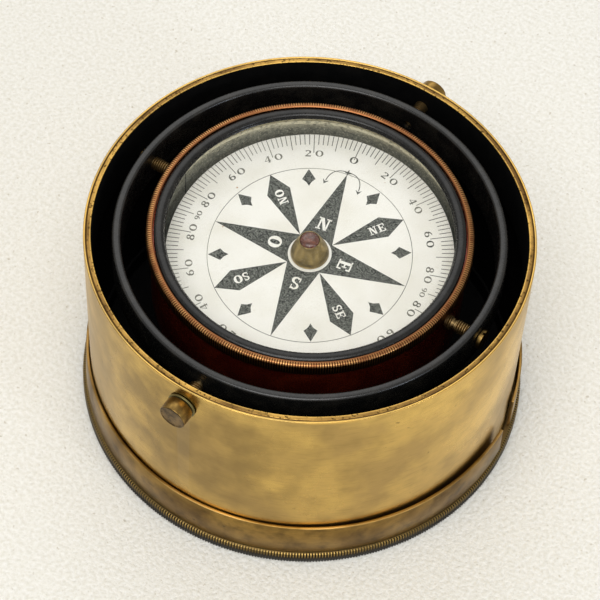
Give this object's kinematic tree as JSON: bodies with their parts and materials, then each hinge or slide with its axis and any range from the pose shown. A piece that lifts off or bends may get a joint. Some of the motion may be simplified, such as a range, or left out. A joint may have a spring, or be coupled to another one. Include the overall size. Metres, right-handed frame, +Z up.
{
  "type": "gimballed marine compass",
  "caption": "Brass drum with a gimbal ring and a glazed bowl that hangs level round a pivoting compass card, standing in its notched lid.",
  "frame": {"origin": "centre of the underside of the upturned lid, on the surface that it stands on", "axes": "+Z up, +Y along the outer gimbal axis from case to ring, +X along the inner gimbal axis from ring to bowl"},
  "size_m": [0.1562, 0.1624, 0.0855],
  "materials": {
    "aged_brass": "worn satin, with darker and greenish stains",
    "black_lacquer": "satin black, worn grey on the edges",
    "lacquered_copper": "dark red-brown lacquer, bare copper on the bezel",
    "window_glass": "clear and flat",
    "black_putty": "matte",
    "card_paper": "printed paper on a stiff back",
    "brown_agate": "polished stone",
    "dark_steel": "blued",
    "cast_lead": "dull grey"
  },
  "bodies": {
    "lid": {"lid_plate": "aged_brass", "lid_skirt_near": "aged_brass", "lid_skirt_far": "aged_brass"},
    "case": {"case_shell": "aged_brass", "case_rim_band": "aged_brass", "case_floor": "aged_brass", "case_pivot_screw_near": "aged_brass", "case_pivot_screw_far": "aged_brass", "case_pivot_collar_near": "aged_brass", "case_pivot_collar_far": "aged_brass"},
    "ring": {"gimbal_ring": "black_lacquer", "ring_pivot_screw_right": "aged_brass", "ring_pivot_screw_left": "aged_brass"},
    "bowl_body": {"bowl": "lacquered_copper", "bowl_bush_right": "aged_brass", "bowl_bush_left": "aged_brass", "bezel": "lacquered_copper", "glass_retainer": "black_lacquer", "glass": "window_glass", "glass_washer": "black_putty", "bowl_weight": "cast_lead", "pivot_pedestal": "aged_brass", "pivot_pin": "dark_steel"},
    "card": {"compass_card": "card_paper", "card_cap": "aged_brass", "cap_jewel": "brown_agate", "card_hub_nut": "aged_brass", "magnet_left": "dark_steel", "magnet_right": "dark_steel"}
  },
  "joints": [
    {"name": "case_lift", "type": "slide", "parent": "lid", "child": "case", "axis": [0, 0, 1], "range_m": [0, 0.03]},
    {"name": "ring_tilt", "type": "hinge", "parent": "case", "child": "ring", "pos_m": [0, 0, 0.07601], "axis": [0, 1, 0], "range_deg": [-60, 60]},
    {"name": "bowl_tilt", "type": "hinge", "parent": "ring", "child": "bowl_body", "pos_m": [0, 0, 0.07601], "axis": [1, 0, 0], "range_deg": [-60, 60]},
    {"name": "card_spin", "type": "hinge", "parent": "bowl_body", "child": "card", "pos_m": [0, 0, 0.07751], "axis": [0.0038, -0.0731, 0.9973], "continuous": true}
  ]
}
